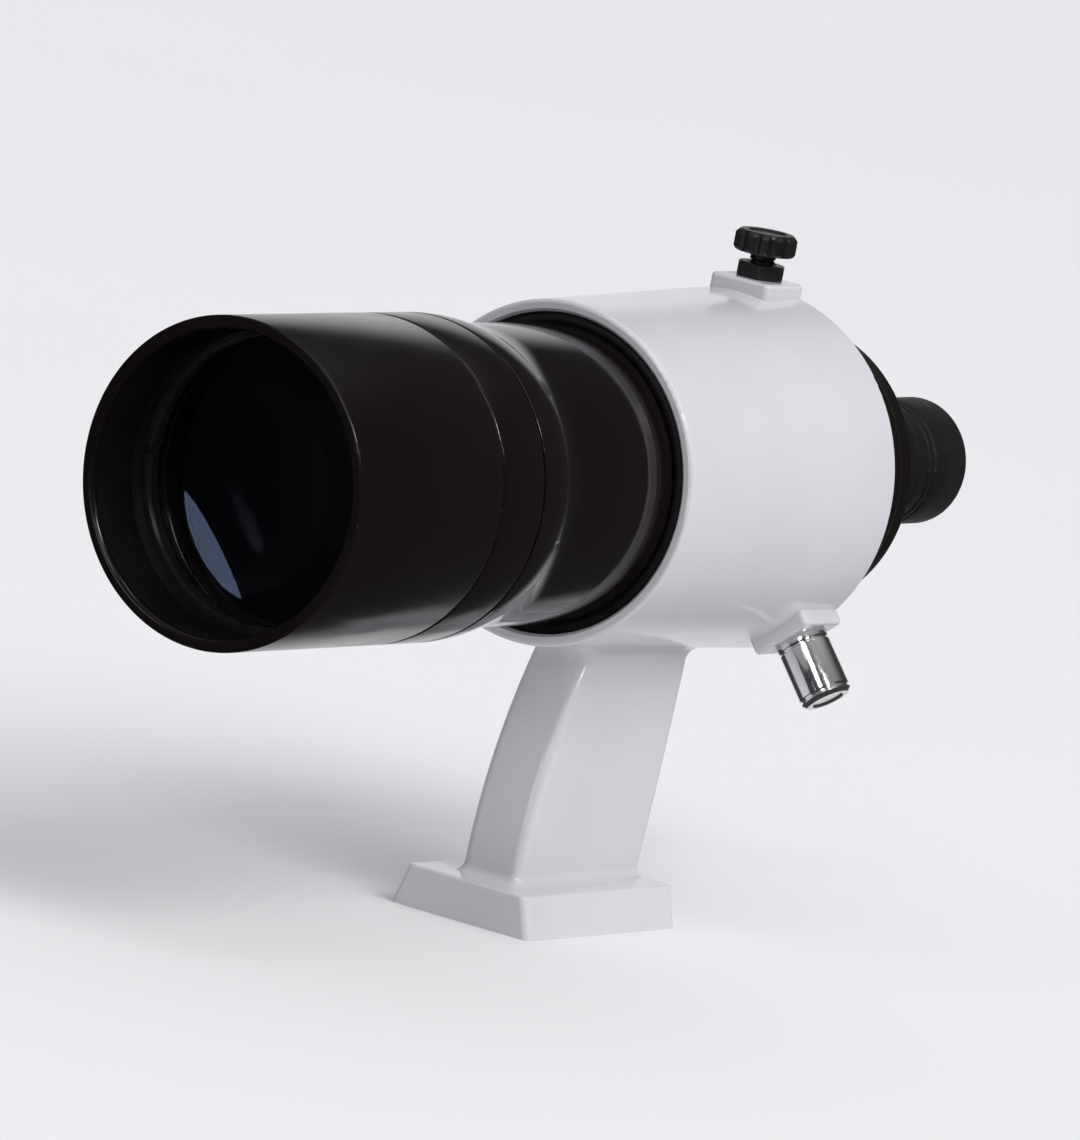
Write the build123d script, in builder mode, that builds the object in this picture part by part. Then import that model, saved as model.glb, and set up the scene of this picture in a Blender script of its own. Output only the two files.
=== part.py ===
from build123d import *
import os
from math import cos, radians, sin, sqrt

# Finder scope, straight-through, about 9 x 50.  Millimetres, +Z up.
# The origin is the centre of the foot's underside.  The optical axis runs
# along X at axis_height, with the objective towards -X and the eye at +X.

# Frame
axis_height = 86.5
front_x = -132.0  # front rim of the dew shield
eye_x = 109.0  # rear lip of the eyecup
pivot_x = -22.5  # centre of the O-ring that the tube tilts on
screw_x = 39.0  # station of both screws and of the spring plunger
fit_gap = 0.02  # between pieces that are pressed or screwed together
edge_bevel = 0.4

# Objective end
cell_outer_r = 30.5
dew_bore_r = 28.0
cell_rear_x = front_x + 47.0
groove_bevel = 0.7  # either side of the joint between the cell and the lock ring
lens_r = 27.3
lens_pocket_r = 27.32
clear_r = 25.0
thread_front_x = front_x + 33.0
ring_front_x = front_x + 15.6  # front face of the retaining ring
ring_rear_x = ring_front_x + 3.0
ring_inner_r = 26.6
slot_width = 1.6
slot_depth = 0.9
crown_front_curve = 110.0
shared_curve = 82.0
flint_rear_curve = 260.0
crown_centre = 10.5
flint_centre = 4.5
spacer_thickness = 0.4
front_land_r = 26.5
inner_land_r = 26.2

# Tube
thread_r = 28.8
thread_gap = 0.05
spigot_front_x = front_x + 38.0
lock_ring_rear_x = front_x + 60.5
flare_front_x = lock_ring_rear_x + 0.4
flare_rear_x = front_x + 79.0
tube_r = 28.3
tube_bore_r = 26.8
tube_rear_x = front_x + 190.0
groove_floor_r = 27.7
groove_half_width = 2.0
o_ring_section_r = 1.25

# Rear cap and eyepiece
cap_r = 27.5
cap_rear_x = front_x + 196.6
cap_spigot_r = tube_bore_r - fit_gap
cap_spigot_length = 8.0
cap_wall = 1.4
cap_web = 3.0
neck_bevel = 0.8
neck_r = 15.5
neck_rear_x = front_x + 206.0
neck_bore_r = 13.0
barrel_front_x = front_x + 199.0
barrel_rear_x = front_x + 234.0
barrel_r = 12.2
barrel_bore_r = 10.5
field_stop_x = front_x + 204.0
stop_seat_r = 11.0
stop_opening_r = 8.6
stop_thickness = 2.0
flange_r = 13.8  # the barrel's flange behind the neck
flange_length = 4.0
lens_shoulder_r = 9.4
field_clear_r = 9.3
eye_clear_r = 9.2
retainer_front_r = 8.2
eye_opening_r = 9.8
eyecup_r = 12.4
eyecup_seat_r = 11.5
eyecup_front_x = front_x + 223.0
lip_r = 1.0

# Bracket
ring_front_edge_x = front_x + 107.5
ring_rear_edge_x = front_x + 177.0
ring_bore_front_r = 30.3
ring_bore_rear_r = 31.6
ring_outer_front_r = 32.6
ring_outer_rear_r = 34.9
pad_axial = 13.0
pad_across = 13.5
pad_top_r = 37.0
pad_depth = 7.0
pad_bore_depth = 9.0
pad_corner_r = 1.2
pad_edge_r = 0.8
rim_r = 0.8
bore_chamfer = 0.5
stalk_thickness = 13.4
stalk_corner_r = 2.0
stalk_ring_fillet = 3.0
stalk_foot_fillet = 2.0
stalk_sections = ((7.0, -18.3, 24.1), (31.0, -15.0, 26.8), (58.0, -3.4, 28.6))  # height, front x, rear x
foot_length = 52.0
foot_height = 8.0
foot_bottom_width = 32.0
foot_side_angle = 72.65  # narrows the foot to 27 mm on top
foot_corner_r = 1.5
foot_edge_r = 0.6

# Screws
screw_r = 2.5
running_gap = 0.05
tip_r = 2.3
tip_stem_r = 1.2
tip_end_r = 32.5  # where the nylon tip meets the end of the screw
head_r = 6.0
head_height = 4.2
head_top_r = pad_top_r + 9.0
head_lower_bevel = 0.8
head_upper_bevel = 1.2
tip_hole_depth = 2.6
tip_stem_length = 2.5
tip_curve = 6.2
tip_clearance = 0.05
nut_bevel = 0.4
nut_flats = 7.6
nut_height = 2.9
flute_count = 12
flute_r = 0.9
flute_circle_r = head_r + 0.3

# Spring plunger, measured outwards from the optical axis
plunger_angle = 140.0  # round the tube from the top, towards its left
pin_r = 1.9
stem_r = 1.2
housing_r = 5.1
housing_thread_r = 4.0
housing_bore_r = 3.0
housing_nose = 33.0
housing_end = 50.0
housing_bevel = 0.7
housing_lip = 1.0
pin_shoulder = 36.8
pin_shoulder_height = 1.0
pin_end = 42.8
collar_start = 39.2
collar_end = 41.2
spring_mean_r = 2.3
spring_wire_r = 0.28
spring_turns = 5
spring_end = 48.6

os.makedirs("parts", exist_ok=True)

optical_axis = Axis((0, 0, axis_height), (1, 0, 0))
half_section = Plane((0, 0, axis_height), x_dir=(1, 0, 0), z_dir=(0, -1, 0))
screw_centre = Vector(screw_x, 0, axis_height)
up = Vector(0, 0, 1)
right = Vector(0, 1, 0)
down_left = Vector(0, -sin(radians(plunger_angle)), cos(radians(plunger_angle)))


def sag(curve, radius):
    """Depth of a spherical surface of radius curve at a distance radius from its axis."""
    return curve - sqrt(curve**2 - radius**2)


def section_through(direction):
    """A plane whose x runs along the tube and whose y runs outwards along direction."""
    return Plane(screw_centre, x_dir=(1, 0, 0), z_dir=Vector(1, 0, 0).cross(direction))


def face_across(direction, distance):
    """A plane facing outwards along direction, at a distance from the optical axis."""
    return Plane(screw_centre + direction * distance, x_dir=(1, 0, 0), z_dir=direction)


# Bracket: ring, screw and plunger pads, stalk and dovetail foot, one casting
with BuildPart() as bracket:
    with BuildSketch(Plane.YZ.offset(-foot_length / 2)):
        Trapezoid(
            foot_bottom_width,
            foot_height,
            left_side_angle=foot_side_angle,
            align=(Align.CENTER, Align.MIN),
        )
    extrude(amount=foot_length)
    upright_corners = bracket.edges().filter_by(lambda edge: abs((edge % 0.5).Z) > 0.5)
    fillet(upright_corners, radius=foot_corner_r)
    fillet(bracket.faces().sort_by(Axis.Z)[-1].edges(), radius=foot_edge_r)
    for height, front, rear in stalk_sections:
        with BuildSketch(Plane.XY.offset(height)):
            with Locations(((front + rear) / 2, 0)):
                RectangleRounded(rear - front, stalk_thickness, stalk_corner_r)
    loft()
    foot_top = bracket.faces().filter_by_position(Axis.Z, foot_height - fit_gap, foot_height + fit_gap)
    fillet(foot_top.sort_by(SortBy.AREA)[-1].inner_wires()[0].edges(), radius=stalk_foot_fillet)
    with BuildSketch(half_section) as ring_section:
        with BuildLine():
            Polyline(
                (ring_front_edge_x, 0),
                (ring_front_edge_x, ring_outer_front_r),
                (ring_rear_edge_x, ring_outer_rear_r),
                (ring_rear_edge_x, 0),
                close=True,
            )
        make_face()
        fillet(ring_section.vertices().sort_by(Axis.Y)[-2:], radius=rim_r)
    revolve(axis=optical_axis)
    long_cone = bracket.faces().filter_by(GeomType.CONE).sort_by(SortBy.AREA)[-1]
    fillet(long_cone.inner_wires()[0].edges(), radius=stalk_ring_fillet)
    for direction in (up, right, down_left):
        with BuildSketch(face_across(direction, pad_top_r)):
            with Locations((ring_rear_edge_x - pad_axial / 2 - screw_x, 0)):
                RectangleRounded(pad_axial, pad_across, pad_corner_r)
        extrude(amount=-pad_depth)
        pad_face = bracket.faces().sort_by_distance(screw_centre + direction * pad_top_r)[0]
        fillet(pad_face.edges(), radius=pad_edge_r)
    with BuildSketch(half_section):
        with BuildLine():
            Polyline(
                (ring_front_edge_x, 0),
                (ring_front_edge_x, ring_bore_front_r + bore_chamfer),
                (ring_front_edge_x + bore_chamfer, ring_bore_front_r),
                (pivot_x + 3, ring_bore_front_r),
                (ring_rear_edge_x, ring_bore_rear_r),
                (ring_rear_edge_x, 0),
                close=True,
            )
        make_face()
    revolve(axis=optical_axis, mode=Mode.SUBTRACT)
    for direction in (up, right):
        with BuildSketch(face_across(direction, pad_top_r)):
            Circle(screw_r + running_gap)
        extrude(amount=-pad_bore_depth, mode=Mode.SUBTRACT)
    with BuildSketch(face_across(down_left, pad_top_r)):
        Circle(housing_thread_r + fit_gap)
    extrude(amount=-pad_bore_depth, mode=Mode.SUBTRACT)
bracket.part.label = "bracket"
export_step(bracket.part, "parts/bracket.step")

# O-ring that carries the tube in the bracket's front end
o_ring_mean_r = groove_floor_r + running_gap + o_ring_section_r
with BuildPart() as o_ring:
    with BuildSketch(half_section):
        with Locations((pivot_x, o_ring_mean_r)):
            Circle(o_ring_section_r)
    revolve(axis=optical_axis)
o_ring.part.label = "o_ring"
export_step(o_ring.part, "parts/o_ring.step")

# Main tube: threaded spigot, flare behind the lock ring, O-ring groove
flare_start_x = flare_front_x + edge_bevel
flare_middle = ((flare_start_x + flare_rear_x) / 2, (cell_outer_r + tube_r) / 2)
with BuildPart() as main_tube:
    with BuildSketch(half_section):
        with BuildLine():
            Polyline(
                (tube_rear_x, tube_r),
                (tube_rear_x, tube_bore_r),
                (spigot_front_x, tube_bore_r),
                (spigot_front_x, thread_r - edge_bevel),
                (spigot_front_x + edge_bevel, thread_r),
                (flare_front_x, thread_r),
                (flare_front_x, cell_outer_r - edge_bevel),
                (flare_start_x, cell_outer_r),
            )
            front_arc = TangentArc((flare_start_x, cell_outer_r), flare_middle, tangent=(1, 0))
            TangentArc(flare_middle, (flare_rear_x, tube_r), tangent=front_arc % 1)
            Polyline(
                (flare_rear_x, tube_r),
                (pivot_x - groove_half_width, tube_r),
                (pivot_x - groove_half_width, groove_floor_r),
                (pivot_x + groove_half_width, groove_floor_r),
                (pivot_x + groove_half_width, tube_r),
                (tube_rear_x, tube_r),
            )
        make_face()
    revolve(axis=optical_axis)
main_tube.part.label = "main_tube"
export_step(main_tube.part, "parts/main_tube.step")

# Baffle: a thin stop with a skirt that grips the tube's bore
baffle_x = front_x + 118.0
baffle_opening_r = 15.5
baffle_wall = 0.8
baffle_skirt = 6.0
with BuildPart() as tube_baffle:
    with BuildSketch(half_section):
        with BuildLine():
            Polyline(
                (baffle_x, baffle_opening_r),
                (baffle_x, cap_spigot_r),
                (baffle_x + baffle_skirt, cap_spigot_r),
                (baffle_x + baffle_skirt, cap_spigot_r - baffle_wall),
                (baffle_x + baffle_wall, cap_spigot_r - baffle_wall),
                (baffle_x + baffle_wall, baffle_opening_r),
                close=True,
            )
        make_face()
    revolve(axis=optical_axis)
tube_baffle.part.label = "tube_baffle"
export_step(tube_baffle.part, "parts/tube_baffle.step")

# Lock ring that holds the cell's focus setting
with BuildPart() as lock_ring:
    with BuildSketch(half_section):
        with BuildLine():
            Polyline(
                (cell_rear_x, thread_r + thread_gap),
                (cell_rear_x, cell_outer_r - groove_bevel),
                (cell_rear_x + groove_bevel, cell_outer_r),
                (lock_ring_rear_x - edge_bevel, cell_outer_r),
                (lock_ring_rear_x, cell_outer_r - edge_bevel),
                (lock_ring_rear_x, thread_r + thread_gap),
                close=True,
            )
        make_face()
    revolve(axis=optical_axis)
lock_ring.part.label = "lock_ring"
export_step(lock_ring.part, "parts/lock_ring.step")

# Lens stations, from the retaining ring's rear face back to the cell's seat
crown_vertex_x = ring_rear_x - sag(crown_front_curve, front_land_r)
crown_back_vertex_x = crown_vertex_x + crown_centre
crown_land_x = crown_back_vertex_x - sag(shared_curve, inner_land_r)
flint_land_x = crown_land_x + spacer_thickness
flint_vertex_x = crown_back_vertex_x + spacer_thickness
flint_back_vertex_x = flint_vertex_x + flint_centre
seat_x = flint_back_vertex_x - sag(flint_rear_curve, clear_r)

# Objective cell, in one piece with the dew shield
with BuildPart() as objective_cell:
    with BuildSketch(half_section):
        with BuildLine():
            Polyline(
                (front_x, dew_bore_r + edge_bevel),
                (front_x, cell_outer_r - edge_bevel),
                (front_x + edge_bevel, cell_outer_r),
                (cell_rear_x - groove_bevel, cell_outer_r),
                (cell_rear_x, cell_outer_r - groove_bevel),
                (cell_rear_x, thread_r + thread_gap),
                (thread_front_x, thread_r + thread_gap),
                (thread_front_x, clear_r),
                (seat_x, clear_r),
                (seat_x, lens_pocket_r),
                (ring_rear_x, lens_pocket_r),
                (ring_rear_x, dew_bore_r),
                (front_x + edge_bevel, dew_bore_r),
                close=True,
            )
        make_face()
    revolve(axis=optical_axis)
objective_cell.part.label = "objective_cell"
export_step(objective_cell.part, "parts/objective_cell.step")

# Threaded retaining ring in front of the lenses, with two spanner slots
with BuildPart() as lens_retaining_ring:
    with BuildSketch(half_section):
        with BuildLine():
            Polyline(
                (ring_front_x, ring_inner_r + edge_bevel),
                (ring_front_x, dew_bore_r - fit_gap),
                (ring_rear_x, dew_bore_r - fit_gap),
                (ring_rear_x, ring_inner_r),
                (ring_front_x + 2 * edge_bevel, ring_inner_r),
                close=True,
            )
        make_face()
    revolve(axis=optical_axis)
    with BuildSketch(Plane((ring_front_x, 0, axis_height), x_dir=(0, 1, 0), z_dir=(-1, 0, 0))):
        Rectangle(2 * cell_outer_r, slot_width)
    extrude(amount=-slot_depth, mode=Mode.SUBTRACT)
lens_retaining_ring.part.label = "lens_retaining_ring"
export_step(lens_retaining_ring.part, "parts/lens_retaining_ring.step")

# Crown lens: both faces convex, with flat lands at the edge
with BuildPart() as crown_lens:
    with BuildSketch(half_section):
        with BuildLine():
            RadiusArc(
                (crown_vertex_x, 0), (ring_rear_x, front_land_r), crown_front_curve
            )
            Polyline(
                (ring_rear_x, front_land_r),
                (ring_rear_x, lens_r),
                (crown_land_x, lens_r),
                (crown_land_x, inner_land_r),
            )
            RadiusArc(
                (crown_land_x, inner_land_r), (crown_back_vertex_x, 0), shared_curve
            )
            Line((crown_back_vertex_x, 0), (crown_vertex_x, 0))
        make_face()
    revolve(axis=optical_axis)
crown_lens.part.label = "crown_lens"
export_step(crown_lens.part, "parts/crown_lens.step")

# Spacer ring between the two lenses
with BuildPart() as lens_spacer:
    with BuildSketch(Plane((crown_land_x, 0, axis_height), x_dir=(0, 1, 0), z_dir=(1, 0, 0))):
        Circle(lens_r)
        Circle(inner_land_r, mode=Mode.SUBTRACT)
    extrude(amount=spacer_thickness)
lens_spacer.part.label = "lens_spacer"
export_step(lens_spacer.part, "parts/lens_spacer.step")

# Flint lens: hollow front face, slightly domed rear face
with BuildPart() as flint_lens:
    with BuildSketch(half_section):
        with BuildLine():
            RadiusArc(
                (flint_land_x, inner_land_r), (flint_vertex_x, 0), shared_curve
            )
            Line((flint_vertex_x, 0), (flint_back_vertex_x, 0))
            RadiusArc((flint_back_vertex_x, 0), (seat_x, clear_r), -flint_rear_curve)
            Polyline(
                (seat_x, clear_r),
                (seat_x, lens_r),
                (flint_land_x, lens_r),
                (flint_land_x, inner_land_r),
            )
        make_face()
    revolve(axis=optical_axis)
flint_lens.part.label = "flint_lens"
export_step(flint_lens.part, "parts/flint_lens.step")

# Rear cap with a threaded spigot in front and the eyepiece neck behind
cap_round = 2.2
with BuildPart() as rear_cap:
    with BuildSketch(half_section):
        with BuildLine():
            Polyline(
                (tube_rear_x, cap_r),
                (tube_rear_x, cap_spigot_r),
                (tube_rear_x - cap_spigot_length, cap_spigot_r),
                (tube_rear_x - cap_spigot_length, cap_spigot_r - cap_wall),
                (tube_rear_x + cap_web, cap_spigot_r - cap_wall),
                (tube_rear_x + cap_web, neck_bore_r),
                (neck_rear_x, neck_bore_r),
                (neck_rear_x, neck_r - neck_bevel),
                (neck_rear_x - neck_bevel, neck_r),
                (cap_rear_x, neck_r),
                (cap_rear_x, cap_r - cap_round),
            )
            RadiusArc(
                (cap_rear_x, cap_r - cap_round), (cap_rear_x - cap_round, cap_r), -cap_round
            )
            Line((cap_rear_x - cap_round, cap_r), (tube_rear_x, cap_r))
        make_face()
    revolve(axis=optical_axis)
rear_cap.part.label = "rear_cap"
export_step(rear_cap.part, "parts/rear_cap.step")

# Eyepiece barrel
stop_shoulder_x = field_stop_x + 1.0
lens_shoulder_x = front_x + 213.5
with BuildPart() as eyepiece_barrel:
    with BuildSketch(half_section):
        with BuildLine():
            Polyline(
                (barrel_front_x, stop_seat_r),
                (barrel_front_x, neck_bore_r - fit_gap),
                (neck_rear_x, neck_bore_r - fit_gap),
                (neck_rear_x, flange_r),
                (neck_rear_x + flange_length - edge_bevel, flange_r),
                (neck_rear_x + flange_length, flange_r - edge_bevel),
                (neck_rear_x + flange_length, barrel_r),
                (eyecup_front_x, barrel_r),
                (eyecup_front_x, eyecup_seat_r),
                (barrel_rear_x, eyecup_seat_r),
                (barrel_rear_x, barrel_bore_r),
                (lens_shoulder_x, barrel_bore_r),
                (lens_shoulder_x, lens_shoulder_r),
                (lens_shoulder_x - 1, lens_shoulder_r),
                (stop_shoulder_x, lens_shoulder_r),
                (stop_shoulder_x, stop_seat_r),
                close=True,
            )
        make_face()
    revolve(axis=optical_axis)
eyepiece_barrel.part.label = "eyepiece_barrel"
export_step(eyepiece_barrel.part, "parts/eyepiece_barrel.step")

# Field stop ring at the focus, which carries the crosshair wires
with BuildPart() as reticle_ring:
    with BuildSketch(Plane((stop_shoulder_x, 0, axis_height), x_dir=(0, 1, 0), z_dir=(-1, 0, 0))):
        Circle(stop_seat_r - fit_gap)
        Circle(stop_opening_r, mode=Mode.SUBTRACT)
    extrude(amount=stop_thickness)
reticle_ring.part.label = "reticle_ring"
export_step(reticle_ring.part, "parts/reticle_ring.step")

wire_r = 0.08
wire_length = 20.0
with BuildPart() as crosshair_wires:
    with Locations(Location((stop_shoulder_x - stop_thickness - wire_r, 0, axis_height))):
        Cylinder(wire_r, wire_length)
    with Locations(Location((stop_shoulder_x - stop_thickness - 3.2 * wire_r, 0, axis_height), (90, 0, 0))):
        Cylinder(wire_r, wire_length)
crosshair_wires.part.label = "crosshair_wires"
export_step(crosshair_wires.part, "parts/crosshair_wires.step")

# Eyepiece optics: field lens, spacer tube, eye lens and retainer
optics_r = barrel_bore_r - fit_gap
field_lens_rear_x = lens_shoulder_x + 2.2
field_lens_curve = 24.0
with BuildPart() as field_lens:
    with BuildSketch(half_section):
        with BuildLine():
            Polyline(
                (lens_shoulder_x, 0),
                (lens_shoulder_x, optics_r),
                (field_lens_rear_x, optics_r),
                (field_lens_rear_x, field_clear_r),
            )
            RadiusArc(
                (field_lens_rear_x, field_clear_r),
                (field_lens_rear_x + sag(field_lens_curve, field_clear_r), 0),
                field_lens_curve,
            )
            Line(
                (field_lens_rear_x + sag(field_lens_curve, field_clear_r), 0), (lens_shoulder_x, 0)
            )
        make_face()
    revolve(axis=optical_axis)
field_lens.part.label = "field_lens"
export_step(field_lens.part, "parts/field_lens.step")

eye_lens_front_x = front_x + 228.2
eye_lens_rear_x = eye_lens_front_x + 2.6
eye_lens_curve = 19.0
with BuildPart() as eyepiece_spacer:
    with BuildSketch(Plane((field_lens_rear_x, 0, axis_height), x_dir=(0, 1, 0), z_dir=(1, 0, 0))):
        Circle(optics_r)
        Circle(field_clear_r, mode=Mode.SUBTRACT)
    extrude(amount=eye_lens_front_x - field_lens_rear_x)
eyepiece_spacer.part.label = "eyepiece_spacer"
export_step(eyepiece_spacer.part, "parts/eyepiece_spacer.step")

with BuildPart() as eye_lens:
    with BuildSketch(half_section):
        with BuildLine():
            RadiusArc(
                (eye_lens_front_x - sag(eye_lens_curve, eye_clear_r), 0),
                (eye_lens_front_x, eye_clear_r),
                eye_lens_curve,
            )
            Polyline(
                (eye_lens_front_x, eye_clear_r),
                (eye_lens_front_x, optics_r),
                (eye_lens_rear_x, optics_r),
                (eye_lens_rear_x, 0),
                (eye_lens_front_x - sag(eye_lens_curve, eye_clear_r), 0),
            )
        make_face()
    revolve(axis=optical_axis)
eye_lens.part.label = "eye_lens"
export_step(eye_lens.part, "parts/eye_lens.step")

with BuildPart() as eyepiece_retainer:
    with BuildSketch(half_section):
        with BuildLine():
            Polyline(
                (eye_lens_rear_x, retainer_front_r),
                (eye_lens_rear_x, optics_r),
                (barrel_rear_x, optics_r),
                (barrel_rear_x, lens_shoulder_r),
                close=True,
            )
        make_face()
    revolve(axis=optical_axis)
eyepiece_retainer.part.label = "eyepiece_retainer"
export_step(eyepiece_retainer.part, "parts/eyepiece_retainer.step")

# Rubber eyecup, stretched over the barrel's rear end
with BuildPart() as eyecup:
    with BuildSketch(half_section):
        with BuildLine():
            Polyline(
                (eyecup_front_x, eyecup_seat_r + fit_gap),
                (eyecup_front_x, barrel_r),
                (eyecup_front_x + lip_r, eyecup_r),
                (eye_x - lip_r, eyecup_r),
            )
            RadiusArc((eye_x - lip_r, eyecup_r), (eye_x - lip_r, eyecup_r - 2 * lip_r), lip_r)
            Polyline(
                (eye_x - lip_r, eyecup_r - 2 * lip_r),
                (barrel_rear_x, eye_opening_r),
                (barrel_rear_x, eyecup_seat_r + fit_gap),
                (eyecup_front_x, eyecup_seat_r + fit_gap),
            )
        make_face()
    revolve(axis=optical_axis)
eyecup.part.label = "eyecup"
export_step(eyecup.part, "parts/eyecup.step")

# Two alignment screws, each with its nylon tip and lock nut
head_bottom = head_top_r - head_height
for side, direction in (("top", up), ("side", right)):
    section = section_through(direction)
    screw_axis = Axis(screw_centre, direction)

    with BuildPart() as thumb_screw:
        with BuildSketch(section):
            with BuildLine():
                Polyline(
                    (tip_stem_r + running_gap, tip_end_r),
                    (screw_r, tip_end_r),
                    (screw_r, head_bottom),
                    (head_r - head_lower_bevel, head_bottom),
                    (head_r, head_bottom + head_lower_bevel),
                    (head_r, head_top_r - head_upper_bevel),
                    (head_r - head_upper_bevel, head_top_r),
                    (0, head_top_r),
                    (0, tip_end_r + tip_hole_depth),
                    (tip_stem_r + running_gap, tip_end_r + tip_hole_depth),
                    close=True,
                )
            make_face()
        revolve(axis=screw_axis)
        with BuildSketch(face_across(direction, head_bottom)):
            with PolarLocations(flute_circle_r, flute_count):
                Circle(flute_r)
        extrude(amount=head_height, mode=Mode.SUBTRACT)
    thumb_screw.part.label = f"{side}_thumb_screw"
    export_step(thumb_screw.part, f"parts/{side}_thumb_screw.step")

    with BuildPart() as screw_tip:
        with BuildSketch(section):
            with BuildLine():
                RadiusArc((0, tube_r + tip_clearance), (tip_r, tube_r + tip_clearance + 0.3), -tip_curve)
                Polyline(
                    (tip_r, tube_r + tip_clearance + 0.3),
                    (tip_r, tip_end_r),
                    (tip_stem_r, tip_end_r),
                    (tip_stem_r, tip_end_r + tip_stem_length),
                    (0, tip_end_r + tip_stem_length),
                    (0, tube_r + tip_clearance),
                )
            make_face()
        revolve(axis=screw_axis)
    screw_tip.part.label = f"{side}_screw_tip"
    export_step(screw_tip.part, f"parts/{side}_screw_tip.step")

    with BuildPart() as lock_nut:
        with BuildSketch(face_across(direction, pad_top_r)):
            RegularPolygon(radius=nut_flats / 2, side_count=6, major_radius=False)
            Circle(screw_r + running_gap, mode=Mode.SUBTRACT)
        extrude(amount=nut_height)
        nut_corner_r = nut_flats / sqrt(3)
        with BuildSketch(section):
            with BuildLine():
                Polyline(
                    (0, pad_top_r),
                    (nut_flats / 2, pad_top_r),
                    (nut_corner_r, pad_top_r + nut_bevel),
                    (nut_corner_r, pad_top_r + nut_height - nut_bevel),
                    (nut_flats / 2, pad_top_r + nut_height),
                    (0, pad_top_r + nut_height),
                    close=True,
                )
            make_face()
        revolve(axis=screw_axis, mode=Mode.INTERSECT)
    lock_nut.part.label = f"{side}_lock_nut"
    export_step(lock_nut.part, f"parts/{side}_lock_nut.step")

# Spring plunger: housing, pin, collar and spring
plunger_section = section_through(down_left)
plunger_axis = Axis(screw_centre, down_left)
with BuildPart() as plunger_housing:
    with BuildSketch(plunger_section):
        with BuildLine():
            Polyline(
                (pin_r + running_gap, housing_nose),
                (housing_thread_r, housing_nose),
                (housing_thread_r, pad_top_r),
                (housing_r, pad_top_r),
                (housing_r, housing_end - housing_bevel),
                (housing_r - housing_bevel, housing_end),
                (0, housing_end),
                (0, spring_end),
                (housing_bore_r, spring_end),
                (housing_bore_r, housing_nose + housing_lip),
                (pin_r + running_gap, housing_nose + housing_lip),
                close=True,
            )
        make_face()
    revolve(axis=plunger_axis)
plunger_housing.part.label = "plunger_housing"
export_step(plunger_housing.part, "parts/plunger_housing.step")

with BuildPart() as plunger_pin:
    with BuildSketch(plunger_section):
        with BuildLine():
            RadiusArc((0, tube_r + tip_clearance), (pin_r, tube_r + tip_clearance + 0.3), -tip_curve)
            Polyline(
                (pin_r, tube_r + tip_clearance + 0.3),
                (pin_r, pin_shoulder),
                (housing_bore_r - 2 * running_gap, pin_shoulder),
                (housing_bore_r - 2 * running_gap, pin_shoulder + pin_shoulder_height),
                (stem_r, pin_shoulder + pin_shoulder_height),
                (stem_r, pin_end),
                (0, pin_end),
                (0, tube_r + tip_clearance),
            )
        make_face()
    revolve(axis=plunger_axis)
plunger_pin.part.label = "plunger_pin"
export_step(plunger_pin.part, "parts/plunger_pin.step")

with BuildPart() as plunger_collar:
    with BuildSketch(face_across(down_left, collar_start)):
        Circle(housing_bore_r - running_gap)
        Circle(stem_r + running_gap, mode=Mode.SUBTRACT)
    extrude(amount=collar_end - collar_start)
plunger_collar.part.label = "plunger_collar"
export_step(plunger_collar.part, "parts/plunger_collar.step")

spring_height = spring_end - collar_end - 2 * (spring_wire_r + running_gap)
with BuildPart() as plunger_spring:
    with BuildLine():
        coil = Helix(
            spring_height / spring_turns,
            spring_height,
            spring_mean_r,
            center=screw_centre + down_left * (collar_end + spring_wire_r + running_gap),
            direction=down_left,
        )
    with BuildSketch(Plane(coil @ 0, z_dir=coil % 0)):
        Circle(spring_wire_r)
    sweep(path=coil, is_frenet=True)
plunger_spring.part.label = "plunger_spring"
export_step(plunger_spring.part, "parts/plunger_spring.step")
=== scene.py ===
import math
import bmesh
import bpy
from mathutils import Matrix, Vector


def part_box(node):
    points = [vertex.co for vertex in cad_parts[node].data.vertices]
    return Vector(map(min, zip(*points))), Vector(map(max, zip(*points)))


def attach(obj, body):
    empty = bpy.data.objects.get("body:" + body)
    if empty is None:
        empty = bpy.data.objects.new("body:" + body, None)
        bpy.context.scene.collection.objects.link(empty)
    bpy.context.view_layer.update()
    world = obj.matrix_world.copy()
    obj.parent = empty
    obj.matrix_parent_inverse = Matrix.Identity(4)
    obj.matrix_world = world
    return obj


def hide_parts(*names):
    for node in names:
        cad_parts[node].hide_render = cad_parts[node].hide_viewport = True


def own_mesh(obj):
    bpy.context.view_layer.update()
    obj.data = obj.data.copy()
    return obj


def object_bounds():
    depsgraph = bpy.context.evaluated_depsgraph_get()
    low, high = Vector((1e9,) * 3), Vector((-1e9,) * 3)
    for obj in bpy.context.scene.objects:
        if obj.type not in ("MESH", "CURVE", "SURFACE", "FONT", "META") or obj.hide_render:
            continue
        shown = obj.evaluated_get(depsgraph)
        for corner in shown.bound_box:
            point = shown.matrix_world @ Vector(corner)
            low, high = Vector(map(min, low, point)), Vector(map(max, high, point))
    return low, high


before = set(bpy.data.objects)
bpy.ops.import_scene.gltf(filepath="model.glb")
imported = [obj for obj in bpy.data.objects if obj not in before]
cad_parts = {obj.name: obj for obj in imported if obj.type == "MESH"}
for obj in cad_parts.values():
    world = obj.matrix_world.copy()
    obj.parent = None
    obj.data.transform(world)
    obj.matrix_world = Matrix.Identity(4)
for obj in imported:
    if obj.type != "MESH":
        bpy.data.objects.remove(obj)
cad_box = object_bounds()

# Finder scope. Metres, in the frame of the CAD model: the optical axis runs along X with the
# objective towards -X, and the foot stands on z = 0. Outlines of turned pieces are written in
# millimetres, as (along the axis, radius, radius of the corner).
MM = 0.001
LARGE_TURN = 240  # faces round a large turned piece
SMALL_TURN = 96
CORNER_STEPS = 5

# ---------------------------------------------------------------- places from the frame, in mm


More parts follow.
